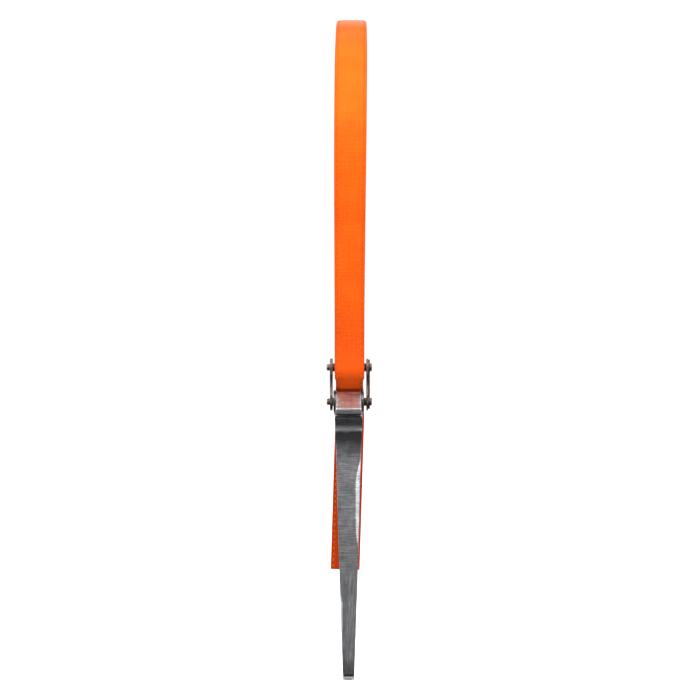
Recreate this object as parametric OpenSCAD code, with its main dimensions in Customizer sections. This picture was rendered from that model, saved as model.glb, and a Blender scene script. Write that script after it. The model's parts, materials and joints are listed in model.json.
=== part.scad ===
// Strap wrench for pipes and round fittings: a tapered forged handle, a pair
// of side links and a sewn webbing strap. The tool hangs by the top of its
// loop: X runs across the strap, the nose of the handle points to -Y, and the
// origin is where the inside of the loop rests on whatever holds it up.

/* [Strap] */
// Width of the webbing
strap_w = 30; // [24:1:32]
// Thickness of the webbing
strap_t = 2.4; // [1.8:0.1:2.6]
// Half of the loop's front-to-back depth, to the middle of the webbing
loop_half = 114; // [80:1:130]
// Height of the loop, from its top to the upper pin
loop_h = 350; // [300:5:400]
// Length of the free tail below the lower pin
tail_l = 174; // [80:1:220]
// Sideways lean of the free tail, in degrees
tail_lean = 1.75; // [0:0.25:2.5]

/* [Links] */
// Distance between the two pins
pin_pitch = 35; // [34:0.5:40]
// Inside distance between the two side plates
link_gap = 34.2; // [34:0.1:38]
// Width of a side plate round its pin
plate_w = 18.2; // [14:0.2:20]
// Thickness of the riveted plate
plate_t = 2.8; // [2:0.1:3.2]
// Thickness of the removable plate
cover_t = 2.0; // [1.6:0.1:2.4]
// Thickness of the spring clip
clip_t = 1.5; // [1.2:0.1:1.6]

/* [Pins] */
// Diameter of a pin between the plates
pin_d = 8.5; // [8:0.1:9]
// Radial running clearance of a pin in its bore
pin_gap = 0.05; // [0.02:0.01:0.08]
// Outer diameter of the bush in the strap's eye
bush_d = 19.6; // [16:0.2:20]

/* [Handle] */
// Length of the handle below the lower pin
handle_l = 284; // [240:2:320]
// Radius of the head round the lower pin
head_r = 11.8; // [11:0.1:12]
// Width of the head across its cheeks
head_w = 30.8; // [30:0.1:32]
// Radius of the handle's round end
end_r = 10.4; // [9:0.1:11]
// Diameter of the hanging hole
hang_d = 9; // [6:0.5:10]
// How far the handle has slid along its pin
handle_x = -0.9; // [-1.2:0.1:1.2]

/* [Hidden] */
$fn = 64;

touch_gap = 0.1;                    // between webbing and the piece that it lies on
seam_gap = 0.1;                     // between two lengths of the same webbing
joint_gap = 0.3;                    // where the webbing is cut at a hinge
web_r = bush_d / 2 + touch_gap + strap_t / 2;
eye_out_r = web_r + strap_t / 2;
front_y = -(eye_out_r + 0.4 + strap_t / 2);
wrap_r = -front_y;                  // the front run's radius about the upper pin
head_web_r = head_r + 0.35 + strap_t / 2;
upper_z = -loop_h;
lower_z = -loop_h - pin_pitch;
front_end_z = upper_z + 12;         // where the loop's front run meets the throat run
tail_turn = 20;                     // angle on the head where the tail begins

// ---- curves in the plane of the loop, as [y, z] points ----

function bez(a, b, c, d, t) =
    pow(1 - t, 3) * a + 3 * pow(1 - t, 2) * t * b + 3 * (1 - t) * t * t * c + t * t * t * d;
function bez_path(a, b, c, d, n) = [for (i = [0 : n]) bez(a, b, c, d, i / n)];
function arc_path(cy, cz, r, a0, a1, n) =
    [for (i = [0 : n]) let (a = a0 + (a1 - a0) * i / n) [cy + r * cos(a), cz + r * sin(a)]];
function flip(path) = [for (i = [len(path) - 1 : -1 : 0]) path[i]];
function skip_first(path) = [for (i = [1 : len(path) - 1]) path[i]];
function along(path, i) =
    let (d = path[min(i + 1, len(path) - 1)] - path[max(i - 1, 0)]) d / norm(d);
function left_of(path, i) = let (d = along(path, i)) [-d[1], d[0]];
function shifted(path, s) = [for (i = [0 : len(path) - 1]) path[i] + s * left_of(path, i)];
function ribbon(path, t) = concat(shifted(path, t / 2), flip(shifted(path, -t / 2)));

// The loop is two mirrored crowns, each with a shoulder, over two converging sides.
crown_top = [0, strap_t / 2];
shoulder = [loop_half - 28, -42];
shoulder_turn = [22, -20];          // from the shoulder to its next control point
crown_side = [loop_half, -120];
side_drop = 50;
back_end = [web_r, upper_z];
side_curve = [crown_side, crown_side - [0, side_drop], [web_r, upper_z + 80], back_end];
sewn_from = 0.85;                   // the doubled, sewn stretch of the back side
sewn_to = 0.68;
layer_step = strap_t + seam_gap;

function side_point(t) = bez(side_curve[0], side_curve[1], side_curve[2], side_curve[3], t);
function side_dir(t) = let (d = side_point(t + 0.01) - side_point(t - 0.01)) d / norm(d);
function inner_layer(t) = let (d = side_dir(t)) side_point(t) + layer_step * [d[1], -d[0]];

function mirrored(path) = [for (p = path) [-p[0], p[1]]];

crown_back = concat(
    flip(bez_path(shoulder, shoulder + shoulder_turn, crown_side + [0, 36], crown_side, 10)),
    skip_first(flip(bez_path(crown_top, crown_top + [22, 0], shoulder - [26, -20], shoulder, 12))));
crown_front = flip(mirrored(crown_back));
side_front = bez_path([-loop_half, crown_side[1]], [-loop_half, crown_side[1] - side_drop],
                      [front_y, front_end_z + 76], [front_y, front_end_z], 24);
side_back = flip([for (i = [0 : 26]) side_point(i / 26)]);
sewn_layer = [for (i = [0 : 6]) inner_layer(sewn_to + (sewn_from - sewn_to) * i / 6)];
eye_front = bez_path(inner_layer(sewn_from), inner_layer(sewn_from) + 14 * side_dir(sewn_from),
                     [-web_r, upper_z + 16], [-web_r, upper_z], 12);
eye_turn = arc_path(0, upper_z, web_r, 180, 360, 20);

loop_path = concat(sewn_layer, skip_first(eye_front), skip_first(eye_turn),
                   skip_first(side_back), skip_first(crown_back), skip_first(crown_front),
                   skip_first(side_front));

// Between the pins the webbing crosses from the eye's front to the head's back.
cross_angle = asin((wrap_r + head_web_r) / pin_pitch);
throat_path = concat(
    [[front_y, front_end_z - joint_gap], [front_y, upper_z + 6]],
    arc_path(0, upper_z, wrap_r, 180, 180 + cross_angle, 8),
    arc_path(0, lower_z, head_web_r, cross_angle, tail_turn, 4));
tail_path = concat(
    arc_path(0, lower_z, head_web_r, tail_turn - 4, 0, 4),
    bez_path([head_web_r, lower_z - 1], [head_web_r, lower_z - 30],
             [head_web_r + 1.2, lower_z - 70], [head_web_r + 1.8, lower_z - 110], 8),
    [[head_web_r + 2.6, lower_z - tail_l]]);

// ---- shared shapes ----

// A solid of constant width across X from an outline in the plane of the loop
module across(w, x = 0) {
    translate([x - w / 2, 0, 0])
        rotate([90, 0, 90])
            linear_extrude(w) children();
}

// A cylinder along X through a point in the plane of the loop
module rod(r, x0, x1, y, z) {
    translate([x0, y, z])
        rotate([0, 90, 0])
            cylinder(r = r, h = x1 - x0);
}

// A turned piece along X, from [radius, x] points
module turned(outline, z) {
    translate([0, 0, z])
        rotate([0, 90, 0])
            rotate_extrude() polygon(outline);
}

// ---- strap ----

module strap_loop() {
    color("darkorange")
        across(strap_w) polygon(ribbon(loop_path, strap_t));
}

module strap_throat() {
    color("darkorange")
        across(strap_w) polygon(ribbon(throat_path, strap_t));
}

module strap_tail() {
    color("orangered")
        translate([0, 0, lower_z])
            rotate([0, tail_lean, 0])
                translate([0, 0, -lower_z])
                    across(strap_w) polygon(ribbon(tail_path, strap_t));
}

stitch_rows = 6;
stitch_l = 24;
stitch_h = 0.5;
stitch_w = 0.9;
stitch_gap = 0.15;                  // clears the bend of the webbing under a straight stitch

// One row of thread across the sewn stretch, on the outside or on the inside
module stitch_row(t, offset_n) {
    d = side_dir(t);
    p = side_point(t) + offset_n * [d[1], -d[0]];
    translate([0, p[0], p[1]])
        rotate([atan2(d[1], d[0]), 0, 0])
            cube([stitch_l, stitch_w, stitch_h], center = true);
}

module eye_stitching() {
    outside = -(strap_t / 2 + stitch_h / 2 + stitch_gap);
    inside = layer_step + strap_t / 2 + stitch_h / 2 + stitch_gap;
    color("orangered")
        for (i = [0 : stitch_rows - 1]) {
            t = sewn_to + 0.015 + (sewn_from - sewn_to - 0.03) * i / (stitch_rows - 1);
            stitch_row(t, outside);
            stitch_row(t, inside);
        }
}

module eye_bush() {
    bush_l = strap_w - 0.8;
    color("dimgray")
        difference() {
            rod(bush_d / 2, -bush_l / 2, bush_l / 2, 0, upper_z);
            rod(pin_d / 2 + pin_gap, -strap_w, strap_w, 0, upper_z);
        }
}

// ---- links ----

cover_x = link_gap / 2 + cover_t;
groove_x0 = cover_x + 0.05;
groove_x1 = groove_x0 + clip_t + 0.1;
groove_r = 3.0;
rivet_r = 3.0;
shoulder_r = 3.95;

// A pin riveted into the left plate and grooved for the clip on the right
module link_pin(z) {
    rivet_x = -link_gap / 2 - plate_t;
    turned([[0, rivet_x - 3.5], [2.3, rivet_x - 3.5], [3.2, rivet_x - 2.9],
            [3.45, rivet_x - 2.1], [3.45, rivet_x - 0.02], [rivet_r, rivet_x - 0.02],
            [rivet_r, -link_gap / 2 + 0.02], [pin_d / 2, -link_gap / 2 + 0.02],
            [pin_d / 2, link_gap / 2 - 0.05], [shoulder_r, link_gap / 2 - 0.05],
            [shoulder_r, groove_x0], [groove_r, groove_x0], [groove_r, groove_x1],
            [4.05, groove_x1], [4.05, groove_x1 + 1.7], [3.65, groove_x1 + 2.1],
            [0, groove_x1 + 2.1]], z);
}

module upper_pin() {
    color("saddlebrown") link_pin(upper_z);
}

module lower_pin() {
    color("saddlebrown") link_pin(lower_z);
}

// A plate round both pins with a waist between them
module side_plate(t, x, hole_r) {
    waist_r = 25;
    waist_half = 6.8;
    mid_z = (upper_z + lower_z) / 2;
    r = plate_w / 2;
    difference() {
        union() {
            rod(r, x, x + t, 0, upper_z);
            rod(r, x, x + t, 0, lower_z);
            translate([x, -r, lower_z]) cube([t, 2 * r, pin_pitch]);
        }
        for (side = [-1, 1])
            rod(waist_r, x - 1, x + t + 1, side * (waist_half + waist_r), mid_z);
        rod(hole_r, x - 1, x + t + 1, 0, upper_z);
        rod(hole_r, x - 1, x + t + 1, 0, lower_z);
    }
}

module left_link_plate() {
    color("rosybrown") side_plate(plate_t, -link_gap / 2 - plate_t, rivet_r + 0.02);
}

module right_link_plate() {
    color("rosybrown") side_plate(cover_t, link_gap / 2, shoulder_r + 0.05);
}

// Flat spring that snaps into the grooves of both pins, open at its lower end
module spring_clip() {
    x = groove_x0 + 0.05;
    far_x = x + clip_t;
    clip_r = 8.2;
    arm_half = 6.2;
    slot_half = 1.7;
    mouth_half = 2.6;
    color("sienna")
        difference() {
            union() {
                rod(clip_r, x, far_x, 0, upper_z);
                rod(clip_r - 0.4, x, far_x, 0, lower_z);
                translate([x, -arm_half, lower_z])
                    cube([clip_t, 2 * arm_half, pin_pitch]);
            }
            rod(groove_r + 0.05, x - 1, far_x + 1, 0, upper_z);
            rod(groove_r + 0.05, x - 1, far_x + 1, 0, lower_z);
            translate([x - 1, -slot_half, lower_z])
                cube([clip_t + 2, 2 * slot_half, pin_pitch]);
            translate([x - 1, -mouth_half, lower_z - 10])
                cube([clip_t + 2, 2 * mouth_half, 10]);
        }
}

// ---- handle, drawn with the lower pin at the origin ----

neck_front = -12.2;
neck_back = 8.5;
end_y = 0.9;
end_z = -(handle_l - end_r);
face_slope = 40.4;                  // the nose's face, which runs off the round head at a tangent
face_end_z = -5.8;
lip = [-22.8, -10.6];
lip_r = 2.4;

// The nose: a sloping face from the round head down to the rounded lip
module nose() {
    face_top = head_r * [-sin(face_slope), cos(face_slope)];
    face_end_y = face_top[0] - (face_top[1] - face_end_z) / tan(face_slope);
    intersection() {
        union() {
            across(head_w)
                polygon([face_top, [face_end_y, face_end_z], [lip[0] - lip_r, face_end_z - 1.4],
                         [lip[0] - lip_r, lip[1]], [lip[0], lip[1] - lip_r],
                         [neck_front, -14.6], [0, -14.6], [0, 0]]);
            rod(lip_r, -head_w / 2, head_w / 2, lip[0], lip[1]);
        }
        rotate([90, 0, 0])
            linear_extrude(60, center = true)
                polygon([[-11.9, 14], [11.9, 14], [13.4, -15], [-13.4, -15]]);
    }
}

// The tapered shank with its hollow throat under the nose and its round end
module shank() {
    intersection() {
        union() {
            difference() {
                across(head_w)
                    polygon([[0, 0], [neck_back, -4], [neck_back + 0.2, -40],
                             [end_y + end_r, end_z], [end_y - end_r, end_z],
                             [neck_front, -40], [neck_front, -14.5]]);
                rod(30, -head_w, head_w, -40.5, -27);
            }
            rod(end_r, -head_w / 2, head_w / 2, end_y, end_z);
        }
        rotate([90, 0, 0])
            linear_extrude(60, center = true)
                polygon([for (side = [1, -1])
                         let (half = [[15.4, 2], [15.4, -8], [14.2, -14], [13.5, -30],
                                      [12.4, -58], [11.4, -100], [9.3, -172],
                                      [5.6, -handle_l - 0.5]])
                         each [for (p = side > 0 ? half : flip(half)) [side * p[0], p[1]]]]);
    }
}

// The recess in one flank, sunk square to the sloping side
module web_recess(side) {
    flank_slope = 1.7;
    depth = 3.2;
    top = [-1.7, -62];
    bottom = [0.5, -226];
    recess_r = 5.4;
    half_at_top = 12.3;
    translate([side * half_at_top, 0, top[1]])
        rotate([0, side * flank_slope, 0])
            translate([0, 0, -top[1]]) {
                rod(recess_r, -depth, depth, top[0], top[1]);
                rod(recess_r, -depth, depth, bottom[0], bottom[1]);
                across(2 * depth)
                    polygon([[top[0] - recess_r, top[1]], [top[0] + recess_r, top[1]],
                             [bottom[0] + recess_r, bottom[1]],
                             [bottom[0] - recess_r, bottom[1]]]);
            }
}

module handle() {
    color("slategray")
        translate([handle_x, 0, lower_z])
            difference() {
                union() {
                    rod(head_r, -head_w / 2, head_w / 2, 0, 0);
                    nose();
                    shank();
                }
                rod(pin_d / 2 + pin_gap, -head_w, head_w, 0, 0);
                rod(hang_d / 2, -head_w, head_w, end_y, end_z);
                for (side = [-1, 1]) web_recess(side);
            }
}

strap_loop();
strap_throat();
strap_tail();
eye_stitching();
eye_bush();
upper_pin();
lower_pin();
left_link_plate();
right_link_plate();
spring_clip();
handle();
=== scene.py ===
"""Strap wrench: webbing loop, side links and forged handle, seen edge-on against white."""
import json
import math

import bmesh
import bpy
import numpy as np
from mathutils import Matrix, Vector


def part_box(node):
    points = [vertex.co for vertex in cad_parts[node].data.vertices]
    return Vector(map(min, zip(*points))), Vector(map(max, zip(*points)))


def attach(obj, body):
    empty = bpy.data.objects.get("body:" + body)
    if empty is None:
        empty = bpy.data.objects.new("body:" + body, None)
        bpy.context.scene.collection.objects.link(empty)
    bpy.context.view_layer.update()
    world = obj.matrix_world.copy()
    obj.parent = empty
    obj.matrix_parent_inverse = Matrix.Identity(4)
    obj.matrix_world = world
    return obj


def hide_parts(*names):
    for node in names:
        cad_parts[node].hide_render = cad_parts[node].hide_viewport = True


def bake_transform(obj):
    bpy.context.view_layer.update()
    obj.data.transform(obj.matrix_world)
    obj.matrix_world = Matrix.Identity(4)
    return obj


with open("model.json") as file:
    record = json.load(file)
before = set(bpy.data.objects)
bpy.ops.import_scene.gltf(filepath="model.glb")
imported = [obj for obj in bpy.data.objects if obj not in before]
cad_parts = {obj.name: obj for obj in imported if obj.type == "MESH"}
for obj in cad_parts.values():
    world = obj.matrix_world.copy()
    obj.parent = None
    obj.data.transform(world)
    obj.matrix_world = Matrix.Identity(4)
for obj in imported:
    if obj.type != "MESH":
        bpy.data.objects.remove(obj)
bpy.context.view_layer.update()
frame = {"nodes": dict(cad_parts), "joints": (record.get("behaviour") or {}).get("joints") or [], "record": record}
MM = 0.001

# ---- what the frame says ----

joints = {j["name"]: j for j in frame["joints"]}
UPPER = np.array(joints["link_swing"]["pos_m"][1:])    # the pins, in Y and Z
LOWER = np.array(joints["handle_swing"]["pos_m"][1:])
PITCH = UPPER[1] - LOWER[1]
loop_low, loop_high = (np.array(c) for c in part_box("strap_loop"))
tail_low = np.array(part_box("strap_tail")[0])
bush_low, bush_high = (np.array(c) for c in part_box("eye_bush"))
hand_low, hand_high = (np.array(c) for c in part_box("handle"))
WEB_W = loop_high[0] - loop_low[0]
WEB_T = loop_high[2]
LOOP_HALF = (loop_high[1] - loop_low[1] - WEB_T) / 2
BUSH_R = (bush_high[2] - bush_low[2]) / 2
HEAD_R = hand_high[2] - LOWER[1]
HANDLE_X = (hand_low[0] + hand_high[0]) / 2
END_Z = hand_low[2] - LOWER[1]                 # the handle's end, from the lower pin

HALF_W = WEB_W / 2
SEAM_X = HALF_W - 2.7 * MM                     # the lines of stitches near the edges
WEB_R = BUSH_R + 0.1 * MM + WEB_T / 2          # the webbing's middle in the eye
WRAP_R = WEB_R + WEB_T + 0.4 * MM              # and where the front run passes it
HEAD_WEB_R = HEAD_R + 0.35 * MM + WEB_T / 2    # and where it lies on the head


# ---- small helpers ----

def in_scene(obj):
    bpy.context.scene.collection.objects.link(obj)
    return obj


def new_object(name, verts, faces):
    """A smooth-shaded mesh object in the scene."""
    mesh = bpy.data.meshes.new(name)
    mesh.from_pydata([tuple(v) for v in verts], [], [tuple(f) for f in faces])
    mesh.update()
    mesh.polygons.foreach_set("use_smooth", [True] * len(mesh.polygons))
    return in_scene(bpy.data.objects.new(name, mesh))


def smoothstep(x, a, b):
    t = np.clip((np.asarray(x, float) - a) / (b - a), 0, 1)
    return t * t * (3 - 2 * t)


def bezier(a, b, c, d, n):
    t = np.linspace(0, 1, n + 1)[:, None]
    a, b, c, d = (np.array(p, float) for p in (a, b, c, d))
    return (1 - t) ** 3 * a + 3 * (1 - t) ** 2 * t * b + 3 * (1 - t) * t * t * c + t ** 3 * d


def arc(centre, radius, start, end, n):
    a = np.radians(np.linspace(start, end, n + 1))
    return np.array(centre) + radius * np.column_stack([np.cos(a), np.sin(a)])


def joined(*paths):
    return np.vstack([paths[0]] + [p[1:] for p in paths[1:]])


def resample(path, step):
    """The same curve with points a fixed step apart, and the distance along it of each."""
    gaps = np.linalg.norm(np.diff(path, axis=0), axis=1)
    s = np.concatenate([[0], np.cumsum(gaps)])
    n = max(2, int(round(s[-1] / step)))
    at = np.linspace(0, s[-1], n + 1)
    return np.column_stack([np.interp(at, s, path[:, k]) for k in (0, 1)]), at


def normals_of(path):
    """Unit normals to the left of the path's direction."""
    d = np.gradient(path, axis=0)
    d /= np.linalg.norm(d, axis=1)[:, None]
    return np.column_stack([-d[:, 1], d[:, 0]])


def feed(tree, socket, value):
    """Link a node socket to another, or give it a plain value."""
    if isinstance(value, bpy.types.NodeSocket):
        tree.links.new(value, socket)
    else:
        socket.default_value = value


# ---- camera, lights, floor ----

VIEW_X, VIEW_Z = 0.5 * MM, -0.3322             # level with the middle of the tool
DISTANCE = 1.153                               # from the plane of the pins
VIEW_WIDTH = 0.714                             # what is seen across that plane
SENSOR_WIDTH = 36
LIGHT_TARGET = (0, 0, -0.2)
FLOOR_DROP = 0.06                              # below the handle's end
FLOOR_NEAR, FLOOR_FAR, FLOOR_HALF = 0.1, 9, 6


def make_camera():
    data = bpy.data.cameras.new("camera")
    data.sensor_width = SENSOR_WIDTH
    data.lens = data.sensor_width * DISTANCE / VIEW_WIDTH
    obj = in_scene(bpy.data.objects.new("camera", data))
    obj.location = (VIEW_X, -DISTANCE, VIEW_Z)
    obj.rotation_euler = (math.pi / 2, 0, 0)
    bpy.context.scene.camera = obj


def area_light(name, place, target, size, power, mirrored=True):
    """A panel light; one that isn't mirrored lights the tool but doesn't show in the steel."""
    data = bpy.data.lights.new(name, "AREA")
    data.shape = "RECTANGLE"
    data.size, data.size_y = size
    data.energy = power
    obj = in_scene(bpy.data.objects.new(name, data))
    obj.location = place
    obj.visible_glossy = mirrored
    obj.rotation_euler = (Vector(target) - Vector(place)).to_track_quat("-Z", "Y").to_euler()


def make_world():
    """White at the sides and behind, grey in front, near black below the front."""
    world = bpy.data.worlds.new("studio")
    bpy.context.scene.world = world
    world.use_nodes = True
    tree = world.node_tree
    tree.nodes.clear()
    add, link = tree.nodes.new, tree.links.new
    out = add("ShaderNodeOutputWorld")
    coord = add("ShaderNodeTexCoord")
    split = add("ShaderNodeSeparateXYZ")
    link(coord.outputs["Generated"], split.inputs[0])

    def ramp(value, low, high, to_low, to_high):
        node = add("ShaderNodeMapRange")
        node.interpolation_type = "SMOOTHSTEP"
        for name, given in (("Value", value), ("From Min", low), ("From Max", high),
                            ("To Min", to_low), ("To Max", to_high)):
            feed(tree, node.inputs[name], given)
        return node.outputs["Result"]

    front = ramp(split.outputs["Z"], -0.42, -0.20, 0.03, 0.5)
    below = ramp(split.outputs["Z"], -0.85, -0.15, -0.95, 0.0)
    turned = add("ShaderNodeMath")
    link(split.outputs["Y"], turned.inputs[0])
    link(below, turned.inputs[1])
    glow = ramp(turned.outputs[0], -0.95, -0.40, front, 1.5)
    seen = add("ShaderNodeBackground")
    seen.inputs["Color"].default_value = (1, 1, 1, 1)
    seen.inputs["Strength"].default_value = 1.05
    lit = add("ShaderNodeBackground")
    link(glow, lit.inputs["Strength"])
    path = add("ShaderNodeLightPath")
    mix = add("ShaderNodeMixShader")
    link(path.outputs["Is Camera Ray"], mix.inputs["Fac"])
    link(lit.outputs[0], mix.inputs[1])
    link(seen.outputs[0], mix.inputs[2])
    link(mix.outputs[0], out.inputs["Surface"])


def make_stage():
    """A wide white floor below and behind the hanging tool."""
    z = hand_low[2] - FLOOR_DROP
    floor = new_object("floor", [(-FLOOR_HALF, FLOOR_NEAR, z), (FLOOR_HALF, FLOOR_NEAR, z),
                                 (FLOOR_HALF, FLOOR_FAR, z), (-FLOOR_HALF, FLOOR_FAR, z)],
                       [(0, 1, 2, 3)])
    mat = bpy.data.materials.new("floor_white")
    mat.use_nodes = True
    shader = mat.node_tree.nodes["Principled BSDF"]
    shader.inputs["Base Color"].default_value = (0.92, 0.92, 0.92, 1)
    shader.inputs["Roughness"].default_value = 0.9
    shader.inputs["Emission Color"].default_value = (1, 1, 1, 1)
    shader.inputs["Emission Strength"].default_value = 0.45
    floor.data.materials.append(mat)


make_camera()
make_world()
make_stage()
for name, side in (("key_left", -1), ("key_right", 1)):
    area_light(name, (side * 0.37, -0.46, 0.12), LIGHT_TARGET, (0.35, 0.5), 3.0)
area_light("top", (0, 0.1, 0.9), LIGHT_TARGET, (1.2, 1.2), 1.2)
area_light("fill", (0, -1.0, -0.65), (0, 0, -0.3), (0.8, 0.5), 8.0, mirrored=False)
bpy.context.scene.view_settings.view_transform = "Standard"


# ---- materials ----

COLOUR_A, COLOUR_B, COLOUR_OUT = 6, 7, 2       # the sockets of a Mix node set to colours


class Nodes:
    """A new node material, with one short way to add and join nodes."""

    def __init__(self, name):
        self.mat = bpy.data.materials.new(name)
        self.mat.use_nodes = True
        self.tree = self.mat.node_tree
        self.shader = self.tree.nodes["Principled BSDF"]

    def add(self, kind, **inputs):
        node = self.tree.nodes.new("ShaderNode" + kind)
        for key, value in inputs.items():
            feed(self.tree, node.inputs[key.replace("_", " ")], value)
        return node

    def math(self, operation, a, b=0.0):
        node = self.add("Math")
        node.operation = operation
        for socket, value in zip(node.inputs, (a, b)):
            feed(self.tree, socket, value)
        return node.outputs[0]

    def times(self, a, b):
        return self.math("MULTIPLY", a, b)

    def minus(self, a, b):
        return self.math("SUBTRACT", a, b)

    def largest(self, first, *others):
        for value in others:
            first = self.math("MAXIMUM", first, value)
        return first

    def weighted(self, *pairs):
        """The sum of each value times its weight."""
        total = None
        for value, weight in reversed(pairs):
            part = self.times(value, weight)
            total = part if total is None else self.math("ADD", part, total)
        return total

    def mix_colour(self, factor, first, second):
        """The first colour where the factor is 0, the second where it is 1."""
        node = self.add("Mix", Factor=factor)
        node.data_type = "RGBA"
        for place, colour in ((COLOUR_A, first), (COLOUR_B, second)):
            feed(self.tree, node.inputs[place],
                 (*colour, 1) if isinstance(colour, tuple) else colour)
        return node.outputs[COLOUR_OUT]

    def noise(self, vector, scale, detail=3.0, rough=0.55):
        return self.add("TexNoise", Vector=vector, Scale=scale, Detail=detail,
                        Roughness=rough).outputs["Fac"]

    def ramp(self, value, *stops):
        node = self.add("ValToRGB", Fac=value)
        elements = node.color_ramp.elements
        while len(elements) < len(stops):
            elements.new(0.5)
        for element, (place, colour) in zip(elements, stops):
            element.position = place
            element.color = (*colour, 1)
        return node.outputs["Color"]

    def remap(self, value, low, high, to_low, to_high):
        return self.add("MapRange", Value=value, From_Min=low, From_Max=high,
                        To_Min=to_low, To_Max=to_high).outputs["Result"]

    def scaled(self, vector, scale):
        return self.add("Mapping", Vector=vector, Scale=scale).outputs["Vector"]

    def position(self, scale=(1, 1, 1)):
        return self.scaled(self.add("TexCoord").outputs["Object"], scale)

    def position_axis(self, axis):
        return self.add("SeparateXYZ", Vector=self.position()).outputs[axis]

    def bump(self, height, distance, strength=1.0, under=None):
        node = self.add("Bump", Height=height, Distance=distance, Strength=strength)
        if under is not None:
            feed(self.tree, node.inputs["Normal"], under)
        return node.outputs["Normal"]

    def set(self, **inputs):
        for key, value in inputs.items():
            feed(self.tree, self.shader.inputs[key.replace("_", " ")], value)
        return self.mat


WARP_PITCH, WEFT_PITCH = 1.05 * MM, 2.1 * MM


def webbing_material():
    """Orange nylon webbing: ribs, picks, painted shade on the edges, seam lines and lower runs, and a painted
    sheen on the crown.
    """
    n = Nodes("orange_webbing")
    uv = n.add("UVMap")
    uv.uv_map = "web"
    web = uv.outputs[0]
    across, along, _ = n.add("SeparateXYZ", Vector=web).outputs
    warp = n.math("SINE", n.times(across, math.tau / WARP_PITCH))
    weft = n.math("SINE", n.times(along, math.tau / WEFT_PITCH))
    weave = n.times(warp, weft)
    height = n.weighted((weave, 0.6), (warp, 0.4))
    cloudy = n.noise(n.position(), 38, 4)
    streaks = n.noise(n.scaled(web, (1500, 22, 1)), 1, 3)
    fibre = n.noise(n.scaled(web, (4200, 500, 1)), 1, 2)
    tone = n.weighted((weave, 0.12), (cloudy, 0.35), (fibre, 0.3), (streaks, 0.35))
    colour = n.ramp(tone, (0.25, (0.62, 0.056, 0.004)), (0.50, (0.86, 0.112, 0.006)),
                    (0.80, (0.95, 0.165, 0.010)))
    # Painted shade: the webbing's edges and the grooves of its seam lines are darkened in the colour.
    side = n.math("ABSOLUTE", across)
    selvage = n.remap(side, HALF_W - 1.6 * MM, HALF_W - 0.3 * MM, 0.0, 0.55)
    groove = n.remap(n.math("ABSOLUTE", n.minus(side, SEAM_X)),
                     0.35 * MM, 0.75 * MM, 0.2, 0.0)
    edge_painted_shade = n.mix_colour(n.largest(selvage, groove), colour, (0.42, 0.022, 0.004))
    z = n.position_axis("Z")
    # Painted shade: the webbing is darkened in the colour from above the upper pin downward, and more below the
    # lower pin, where less light reaches.
    low_painted_shade = n.math("ADD", n.remap(z, UPPER[1] + 0.10, UPPER[1] + 0.02, 0.0, 0.42),
                  n.remap(z, LOWER[1] + 0.005, LOWER[1] - 0.03, 0.0, 0.26))
    low_shaded_colour = n.mix_colour(low_painted_shade, edge_painted_shade, (0.30, 0.012, 0.003))
    # Painted sheen: the crown is painted paler and pinker, standing in for its grazing reflection of the white
    # surroundings.
    crown_painted_sheen = n.mix_colour(n.remap(z, -19 * MM, -6 * MM, 0.0, 0.5), low_shaded_colour,
                         (0.76, 0.27, 0.17))
    rough = n.remap(weave, -1, 1, 0.75, 0.6)
    normal = n.bump(height, 0.12 * MM, 0.8, n.bump(fibre, 0.05 * MM, 0.6))
    return n.set(Base_Color=crown_painted_sheen, Roughness=rough, Normal=normal,
                 Sheen_Weight=0.03, Sheen_Roughness=0.4, Sheen_Tint=(1.0, 0.45, 0.25, 1),
                 Specular_IOR_Level=0.07)


def thread_material():
    """Twisted orange thread: like the webbing on the loop, paler and glossier on the tail, the paler colour a
    painted highlight.
    """
    n = Nodes("orange_thread")
    twist = n.noise(n.position((900, 900, 900)), 1.6, 2)
    z = n.position_axis("Z")
    on_loop = n.ramp(twist, (0.3, (0.78, 0.098, 0.005)), (0.7, (0.88, 0.128, 0.008)))
    # Painted highlight: the same thread is painted paler on the tail than on the loop.
    tail_painted_glint = n.ramp(twist, (0.3, (0.86, 0.12, 0.014)), (0.7, (0.95, 0.19, 0.032)))
    colour = n.mix_colour(n.remap(z, UPPER[1], LOWER[1], 0.0, 1.0), on_loop, tail_painted_glint)
    return n.set(Base_Color=colour, Roughness=n.remap(twist, 0, 1, 0.5, 0.65),
                 Normal=n.bump(twist, 0.08 * MM, 0.8),
                 Specular_IOR_Level=n.remap(z, UPPER[1], LOWER[1], 0.07, 0.25))


def browned_material(name, dark, light, roughness):
    """Browned steel: patchy oxide with fine scratches."""
    n = Nodes(name)
    patches = n.noise(n.position(), 170, 5, 0.65)
    fine = n.noise(n.position((1, 1, 3)), 1400, 3)
    tone = n.weighted((patches, 0.7), (fine, 0.3))
    colour = n.ramp(tone, (0.34, dark), (0.66, light))
    rough = n.remap(patches, 0.3, 0.7, roughness + 0.12, roughness - 0.05)
    normal = n.bump(fine, 0.05 * MM, 0.5, n.bump(patches, 0.12 * MM, 0.5))
    return n.set(Base_Color=colour, Metallic=1.0, Roughness=rough, Normal=normal)


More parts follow.
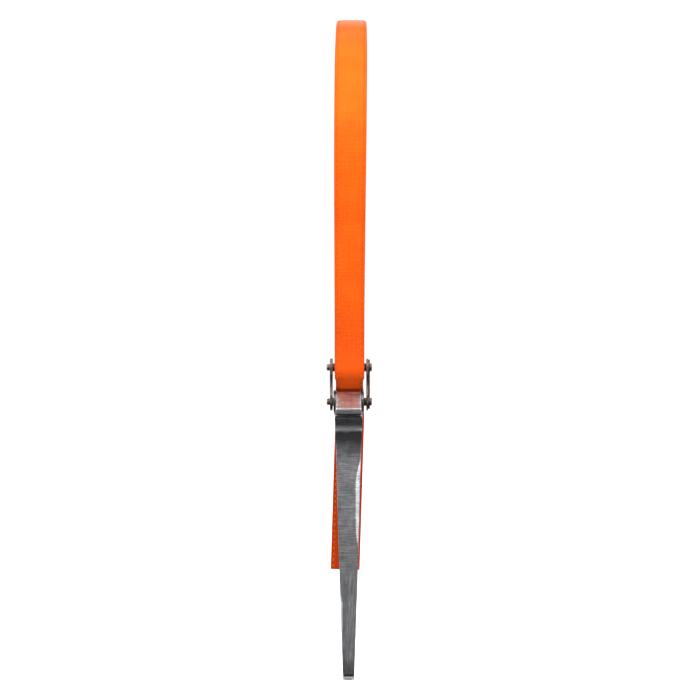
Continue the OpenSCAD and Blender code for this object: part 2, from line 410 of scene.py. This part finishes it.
def forged_material():
    """A forging with a ground front: scratches across the upper shank, along the lower; painted shade and
    reflection around the head.
    """
    n = Nodes("ground_forging")
    below = n.minus(LOWER[1], n.position_axis("Z"))
    aside = n.math("ABSOLUTE", n.minus(n.position_axis("X"), HANDLE_X))
    crosswise = n.noise(n.position((70, 70, 1300)), 1, 4, 0.75)
    lengthwise = n.noise(n.position((1500, 1500, 40)), 1, 4, 0.75)
    lower = n.remap(below, 160 * MM, 185 * MM, 0.0, 1.0)
    scratch = n.add("Mix", Factor=lower, A=crosswise, B=lengthwise).outputs[0]
    mottle = n.noise(n.position((1, 1, 0.5)), 150, 5, 0.6)
    tone = n.weighted((scratch, 0.7), (mottle, 0.3))
    ground = n.ramp(tone, (0.33, (0.20, 0.205, 0.225)), (0.5, (0.50, 0.505, 0.525)),
                    (0.64, (0.90, 0.90, 0.90)))

    # dark patches: forging scale left on the flanks and in the side recesses; painted shade and reflection, with a
    # ragged edge, under the nose, on its lip and on the head's cheeks
    edge = n.math("ADD", below, n.times(n.minus(mottle, 0.5), 8 * MM))
    # Painted reflection: the dark band on the ground front under the nose stands in for the reflection of the
    # nose's dark underside.
    scallop = n.times(n.remap(edge, 23 * MM, 31 * MM, 0.0, 1.0),
                      n.remap(edge, 38 * MM, 62 * MM, 1.0, 0.0))
    # Painted shade on the lower front edge of the nose.
    lip_painted_shade = n.times(n.remap(below, 6.3 * MM, 7.3 * MM, 0.0, 0.55),
                  n.remap(n.position_axis("Y"), -17 * MM, -19 * MM, 0.0, 1.0))
    # Painted shade on the head's cheeks beside the nose.
    cheek_painted_shade = n.times(n.remap(aside, 12.1 * MM, 12.9 * MM, 0.0, 1.0),
                     n.remap(edge, 12 * MM, 26 * MM, 0.9, 0.0))
    half = n.remap(below, 30 * MM, 283 * MM, 13.5 * MM, 5.6 * MM)
    past_side = n.minus(aside, half)
    flanks = n.times(0.6, n.remap(past_side, -0.8 * MM, -0.2 * MM, 0.0, 1.0))
    recess = n.times(0.7, n.remap(past_side, -1.6 * MM, -2.8 * MM, 0.0, 1.0))
    midway = n.math("LESS_THAN", n.math("ABSOLUTE", n.position_axis("Y")), 5.6 * MM)
    # The scale on the flanks and in the recesses is the forging's own; the neck band, lip and cheeks are painted
    # shade and reflection.
    scale = n.largest(scallop, lip_painted_shade, cheek_painted_shade, flanks, n.times(recess, midway))
    colour = n.mix_colour(scale, ground, (0.065, 0.065, 0.072))

    rough = n.remap(tone, 0.25, 0.75, 0.40, 0.26)
    normal = n.bump(scratch, 0.10 * MM, 0.6, n.bump(mottle, 0.25 * MM, 0.3))
    rim = n.remap(below, 277.8 * MM, 278.8 * MM, 1.0, 0.2)
    return n.set(Base_Color=colour, Metallic=rim, Roughness=rough, Normal=normal)


MATERIALS = {
    "webbing": webbing_material(),
    "thread": thread_material(),
    "bush_steel": browned_material("turned_steel", (0.20, 0.19, 0.185),
                                   (0.42, 0.40, 0.39), 0.34),
    "browned_steel": browned_material("browned_steel", (0.070, 0.040, 0.031),
                                      (0.36, 0.275, 0.235), 0.42),
    "spring_steel": browned_material("spring_steel", (0.045, 0.033, 0.029),
                                     (0.20, 0.15, 0.135), 0.36),
    "forged_steel": forged_material(),
}


def finish_piece(obj, slot):
    obj.data.materials.clear()
    obj.data.materials.append(MATERIALS[slot])
    return obj


# ---- webbing ----

CROWN = 120 * MM                               # from the loop's top to its widest place
SIDE_STEPS = 200                               # points along each side below it
SIDE_PULL = 50 * MM                            # how strongly they leave it straight down
SHOULDER = np.array([LOOP_HALF - 28 * MM, -42 * MM])
SEWN_FROM, SEWN_TO = 0.85, 0.68                # parts of the way down the back side
SEAM_START = 35 * MM                           # the edge seams start this far from the sewn end
LAYER = WEB_T + 0.1 * MM
FRONT_END = UPPER[1] + 12 * MM
CROSS = math.degrees(math.asin((WRAP_R + HEAD_WEB_R) / PITCH))
TAIL_LEAN = math.radians(1.75)

back_side = bezier((LOOP_HALF, -CROWN), (LOOP_HALF, -CROWN - SIDE_PULL),
                   (WEB_R, UPPER[1] + 80 * MM), (WEB_R, UPPER[1]), SIDE_STEPS)
sewn = slice(int(SEWN_TO * SIDE_STEPS), int(SEWN_FROM * SIDE_STEPS) + 1)
sewn_layer = (back_side - LAYER * normals_of(back_side))[sewn]


def loop_path():
    """From the sewn end, round the bush, up the back, over the top and down the front."""
    down = sewn_layer[-1] - sewn_layer[-2]
    down /= np.linalg.norm(down)
    eye_front = bezier(sewn_layer[-1], sewn_layer[-1] + 14 * MM * down,
                       (-WEB_R, UPPER[1] + 16 * MM), (-WEB_R, UPPER[1]), 60)
    eye_turn = arc(UPPER, WEB_R, 180, 360, 90)
    top = np.array([0, WEB_T / 2])
    crown = joined(
        bezier(top, top + (22 * MM, 0), SHOULDER + (-26 * MM, 20 * MM), SHOULDER, 120),
        bezier(SHOULDER, SHOULDER + (22 * MM, -20 * MM), (LOOP_HALF, 36 * MM - CROWN),
               (LOOP_HALF, -CROWN), 100))
    front = bezier((-LOOP_HALF, -CROWN), (-LOOP_HALF, -CROWN - SIDE_PULL),
                   (-WRAP_R, FRONT_END + 76 * MM), (-WRAP_R, FRONT_END), SIDE_STEPS)
    return joined(sewn_layer, eye_front, eye_turn, back_side[::-1], crown[::-1],
                  crown * (-1, 1), front)


def throat_path():
    """From the front of the eye, across between the pins and down behind the handle."""
    wrap = arc(UPPER, WRAP_R, 180, 180 + CROSS, 40)
    over = arc(LOWER, HEAD_WEB_R, CROSS, 0, 40)
    hang = bezier((HEAD_WEB_R, LOWER[1]), (HEAD_WEB_R, LOWER[1] - 30 * MM),
                  (HEAD_WEB_R + 1.2 * MM, LOWER[1] - 70 * MM),
                  (HEAD_WEB_R + 1.8 * MM, LOWER[1] - 110 * MM), 60)
    end = [hang[-1], (HEAD_WEB_R + 2.6 * MM, tail_low[2] + 0.4 * MM)]
    return joined([(-WRAP_R, FRONT_END), (-WRAP_R, UPPER[1])], wrap, over, hang, end)


def loop_lean(xyz):
    """The loop leans a little to one side, and its edges droop at the crown."""
    z = xyz[..., 2].copy()
    droop, lean = 1.5 * MM, 2.1 * MM
    edge = np.clip((np.abs(xyz[..., 0]) - 0.68 * HALF_W) / (0.32 * HALF_W), 0, 1)
    xyz[..., 2] -= droop * edge ** 2 * smoothstep(z, -22 * MM, -2 * MM)
    up = np.clip((z - UPPER[1]) / -UPPER[1], 0, 1.1)
    xyz[..., 0] += lean * up ** 2
    return xyz


def tail_swing(xyz):
    """The free tail hangs at an angle from the lower pin."""
    below = xyz[..., 2] - LOWER[1]
    lean = TAIL_LEAN * smoothstep(-below, -8 * MM, 22 * MM)
    across = xyz[..., 0].copy()
    xyz[..., 0] += below * np.sin(lean) + 0.8 * MM * lean / TAIL_LEAN
    xyz[..., 2] -= across * np.sin(lean)
    return xyz


def throat_curl(s, x, out):
    """Between the pins the edges curl up, away from the nose of the handle."""
    straight = math.sqrt(PITCH ** 2 - (WRAP_R + HEAD_WEB_R) ** 2)
    past = s - (FRONT_END - UPPER[1] + WRAP_R * math.radians(CROSS))
    curl = smoothstep(past, -1 * MM, 0.6 * straight) \
        * (1 - smoothstep(past, 0.62 * straight, straight + 3 * MM))
    tuck = smoothstep(past, -9 * MM, 0.45 * straight) \
        * (1 - smoothstep(past, 0.7 * straight, straight + 6 * MM))
    flat_half, rise, narrowing = 8.5 * MM, 3.2 * MM, 0.075
    edge = np.clip((np.abs(x) - flat_half) / (HALF_W - flat_half), 0, 1)
    return x * (1 - narrowing * tuck), out + rise * curl * edge ** 1.7


class Run:
    """A length of webbing along a path in the plane of the loop."""

    def __init__(self, path, settle, curl=None):
        self.points, self.s = resample(path, 0.5 * MM)
        self.normal = normals_of(self.points)
        self.settle = settle
        self.curl = curl

    def place(self, s, x, out):
        """Where points s along, x across and out from the middle of the webbing lie."""
        s, x, out = np.broadcast_arrays(s, x, out)
        if self.curl is not None:
            x, out = self.curl(s, x, out)
        y, z = (np.interp(s, self.s, self.points[:, k])
                + out * np.interp(s, self.s, self.normal[:, k]) for k in (0, 1))
        return self.settle(np.stack([x + 0 * y, y, z], axis=-1))


def web_section():
    """The webbing's outline: rounded edges and a shallow seam near each edge."""
    t = WEB_T / 2
    round_r = t * 0.8
    near, clear = 0.4 * MM, 0.7 * MM           # fine points near a seam, coarse ones clear
    depth, spread = 0.3 * MM, 0.42 * MM
    flat = np.concatenate([np.linspace(-HALF_W + round_r, -SEAM_X - clear, 3),
                           np.linspace(-SEAM_X - near, -SEAM_X + near, 5),
                           np.linspace(-SEAM_X + clear, SEAM_X - clear, 11),
                           np.linspace(SEAM_X - near, SEAM_X + near, 5),
                           np.linspace(SEAM_X + clear, HALF_W - round_r, 3)])
    seam = depth * np.exp(-((np.abs(flat) - SEAM_X) / spread) ** 2)
    edge = np.radians(np.linspace(70, -70, 6))
    side = np.column_stack([HALF_W - round_r * (1 - np.cos(edge)), t * np.sin(edge)])
    return np.vstack([np.column_stack([flat, t - seam]), side,
                      np.column_stack([flat[::-1], seam[::-1] - t]), -side])


def web_mesh(name, run, start, end, step):
    """A closed strip of webbing along part of a run, with a UV layer in metres."""
    section = web_section()
    m = len(section)
    n = int(round((end - start) / step)) + 1
    s = np.linspace(start, end, n)
    rib = 0.05 * MM * np.sin(s * math.tau / (4 * step))
    out = section[:, 1] + rib[:, None] * np.sign(section[:, 1])
    verts = run.place(s[:, None], section[None, :, 0], out)
    ring = np.arange(m)
    nxt = np.roll(ring, -1)
    base = np.arange(n - 1)[:, None] * m
    quads = np.stack([base + ring, base + nxt, base + m + nxt, base + m + ring], axis=-1)
    faces = quads.reshape(-1, 4).tolist() + [(ring[::-1] + n * m).tolist(),
                                             (ring + (n + 1) * m).tolist()]
    obj = new_object(name, np.vstack([verts.reshape(-1, 3), verts[0], verts[-1]]), faces)
    s = np.append(s, [start, end])
    layer = obj.data.uv_layers.new(name="web")
    loops = np.zeros(len(obj.data.loops), int)
    obj.data.loops.foreach_get("vertex_index", loops)
    uv = np.column_stack([section[loops % m, 0], s[loops // m]])
    layer.data.foreach_set("uv", uv.astype(np.float32).ravel())
    return outward(obj)


def outward(obj):
    """The object with all its faces turned outward."""
    mesh = bmesh.new()
    mesh.from_mesh(obj.data)
    bmesh.ops.recalc_face_normals(mesh, faces=mesh.faces)
    mesh.to_mesh(obj.data)
    mesh.free()
    return obj


def stitches(run, s, x, face, length, width, height, lengthwise=True):
    """Vertices and faces of plump stitches centred on the points (s, x) of one face."""
    rings, sides = 6, 6
    s, x = (np.ravel(a)[:, None, None] for a in np.broadcast_arrays(s, x))
    u = np.linspace(-0.98, 0.98, rings)[None, :, None]
    v = np.radians(np.arange(sides) * (360 // sides))[None, None, :]
    plump = np.sqrt(1 - u ** 4)
    along, aside = u * length / 2 + 0 * v, plump * np.cos(v) * width / 2
    out = face * (WEB_T / 2 + plump * np.sin(v) * height)
    verts = run.place(s + along, x + aside, out) if lengthwise \
        else run.place(s + aside, x + along, out)
    first = rings * sides * np.arange(len(s))[:, None, None]
    k = np.arange(sides)
    quads = [(r * sides + a, r * sides + b, (r + 1) * sides + b, (r + 1) * sides + a)
             for r in range(rings - 1) for a, b in zip(k, np.roll(k, -1))]
    quads = (np.array(quads)[None] + first).reshape(-1, 4)
    caps = (np.stack([k[::-1], k + (rings - 1) * sides])[None] + first).reshape(-1, sides)
    return verts.reshape(-1, 3), quads.tolist() + caps.tolist()


def thread_piece(name, *groups):
    """One object from several groups of stitches."""
    verts, faces, base = [], [], 0
    for group_verts, group_faces in groups:
        verts.append(group_verts)
        faces += [[base + i for i in face] for face in group_faces]
        base += len(group_verts)
    return outward(new_object(name, np.vstack(verts), faces))


def edge_seams(name, run, start, end):
    """The lines of stitches near both edges, on both faces."""
    pitch, length, width, height = 6 * MM, 3.4 * MM, 0.75 * MM, 0.26 * MM
    s = np.arange(start + 3 * MM, end - 2 * MM, pitch)
    groups = [stitches(run, s, side * SEAM_X, face, length, width, height)
              for side in (-1, 1) for face in (-1, 1)]
    return thread_piece(name, *groups)


def sewn_rows(name):
    """Rows across the doubled webbing, on its outside and on its inside."""
    length, width, height = 2.7 * MM, 0.9 * MM, 0.45 * MM
    groups = []
    for path, face in ((back_side[sewn], 1), (sewn_layer, -1)):
        run = Run(path, loop_lean)
        rows = np.linspace(0.07, 0.93, 6) * run.s[-1]
        columns = np.linspace(-10.4, 10.4, 7) * MM
        s, x = np.meshgrid(rows, columns)
        groups.append(stitches(run, s, x, face, length, width, height, lengthwise=False))
    return thread_piece(name, *groups)


loop_run = Run(loop_path(), loop_lean)
low_run = Run(throat_path(), tail_swing, throat_curl)
low_cut = FRONT_END - UPPER[1] + WRAP_R * math.radians(CROSS) + 3 * MM

strap_loop = web_mesh("webbing_loop", loop_run, 0, loop_run.s[-1], 1 * MM)
seam_loop = edge_seams("seam_loop", loop_run, SEAM_START, loop_run.s[-1])
eye_rows = sewn_rows("eye_rows")
for piece, slot in ((strap_loop, "webbing"), (seam_loop, "thread"), (eye_rows, "thread")):
    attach(finish_piece(piece, slot), "strap")
for part, start, end in (("front", 0, low_cut), ("tail", low_cut, low_run.s[-1])):
    piece = web_mesh("webbing_" + part, low_run, start, end, 0.5 * MM)
    seams = edge_seams("seam_" + part, low_run, start, end)
    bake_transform(finish_piece(piece, "webbing"))
    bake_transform(finish_piece(seams, "thread"))
    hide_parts("strap_throat" if part == "front" else "strap_tail")
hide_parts("strap_loop")
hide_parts("eye_stitching")

# ---- handle ----

VOXEL = 0.62 * MM
BORE_R = 4.3 * MM
HANG_R = 4.5 * MM
HANG_HOLE = (0.9 * MM, hand_low[2] + 10.4 * MM)


def front_of(z):
    """The Y of the ground front of the shank, with its scallop under the nose."""
    flat = np.interp(z, [END_Z + 10.4 * MM, -40 * MM], [-9.5 * MM, -12.2 * MM])
    scallop = smoothstep(-z, 14.5 * MM, 26 * MM) * (
        2.6 * MM - 1.1 * MM * smoothstep(-z, 26 * MM, 30 * MM)
        - 1.5 * MM * smoothstep(-z, 30 * MM, 46 * MM))
    return flat + scallop


def grind(co):
    """The ground front, with hand-ground chamfers where it meets the flanks."""
    x, y, z = co[:, 0] - HANDLE_X, co[:, 1].copy(), co[:, 2] - LOWER[1]
    front = (z < -15.5 * MM) & (z > END_Z + 8 * MM) & (y < front_of(z) + 0.9 * MM)
    flush = smoothstep(-z, 15.5 * MM, 18 * MM) * smoothstep(front_of(z) + 0.9 * MM - y,
                                                            0, 0.7 * MM)
    y = np.where(front, y + flush * (front_of(z) - y), y)
    right = 13.4 * MM - 6.2 * MM * (smoothstep(-z, 44 * MM, 82 * MM)
                                    - smoothstep(-z, 124 * MM, 172 * MM))
    left = 12.4 * MM - 6.0 * MM * (smoothstep(-z, 170 * MM, 206 * MM)
                                   - 0.3 * smoothstep(-z, 228 * MM, 262 * MM))
    depth = np.maximum(np.clip(x - right, 0, None) * 1.3, np.clip(-x - left, 0, None) * 1.3)
    limit = front_of(z) + depth
    ground = (z < -42 * MM) & (depth > 0) & (y < limit)
    y = np.where(ground, limit, y)
    worn_end = 1.3 * MM * smoothstep(-z, 260 * MM, -END_Z)
    co[:, 1] = y + worn_end * smoothstep(-y, -4 * MM, 8 * MM)
    return co


def clear_bore(co, normal, centre, radius):
    """Keep a bore at its full radius, where smoothing drew its wall in."""
    off = co[:, 1:] - centre
    r = np.linalg.norm(off, axis=1)
    wall = (r < radius + 0.7 * MM) & ((normal[:, 1:] * off).sum(axis=1) < -0.3 * r)
    grow = np.where(wall & (r < radius), radius / np.maximum(r, 1e-6), 1.0)
    co[:, 1:] = centre + off * grow[:, None]
    return co


def make_handle():
    """The CAD handle as a forging: worn edges, blended corners and ground chamfers."""
    obj = frame["nodes"]["handle"].copy()
    obj.data = obj.data.copy()
    in_scene(obj)
    remesh = obj.modifiers.new("remesh", "REMESH")
    remesh.mode = "VOXEL"
    remesh.voxel_size = VOXEL
    smooth = obj.modifiers.new("smooth", "SMOOTH")
    smooth.iterations = 5
    smooth.factor = 0.5
    solid = bpy.data.meshes.new_from_object(
        obj.evaluated_get(bpy.context.evaluated_depsgraph_get()))
    world = np.array(obj.matrix_world)
    bpy.data.objects.remove(obj)
    n = len(solid.vertices)
    co, normal = np.zeros(n * 3), np.zeros(n * 3)
    solid.vertices.foreach_get("co", co)
    solid.vertices.foreach_get("normal", normal)
    co = co.reshape(-1, 3) @ world[:3, :3].T + world[:3, 3]
    normal = normal.reshape(-1, 3) @ world[:3, :3].T
    co = grind(co)
    co = clear_bore(co, normal, LOWER, BORE_R)
    co = clear_bore(co, normal, HANG_HOLE, HANG_R)
    solid.vertices.foreach_set("co", co.ravel())
    solid.polygons.foreach_set("use_smooth", [True] * len(solid.polygons))
    solid.update()
    return in_scene(bpy.data.objects.new("forged_handle", solid))


forging = finish_piece(make_handle(), "forged_steel")
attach(forging, "handle")
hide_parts("handle")

# ---- materials on every CAD node, and broken edges on the ones that stay in view ----

slots = {p["node"]: p["material_slot"] for p in frame["record"]["subparts"]}
for node, obj in frame["nodes"].items():
    obj.data.materials.clear()
    obj.data.materials.append(MATERIALS[slots[node]])
    if slots[node] in ("browned_steel", "spring_steel", "bush_steel"):
        bevel = obj.modifiers.new("worn_edges", "BEVEL")
        bevel.width = 0.28 * MM
        bevel.segments = 2
        bevel.limit_method = "ANGLE"
        bevel.angle_limit = math.radians(40)
        bevel.harden_normals = True
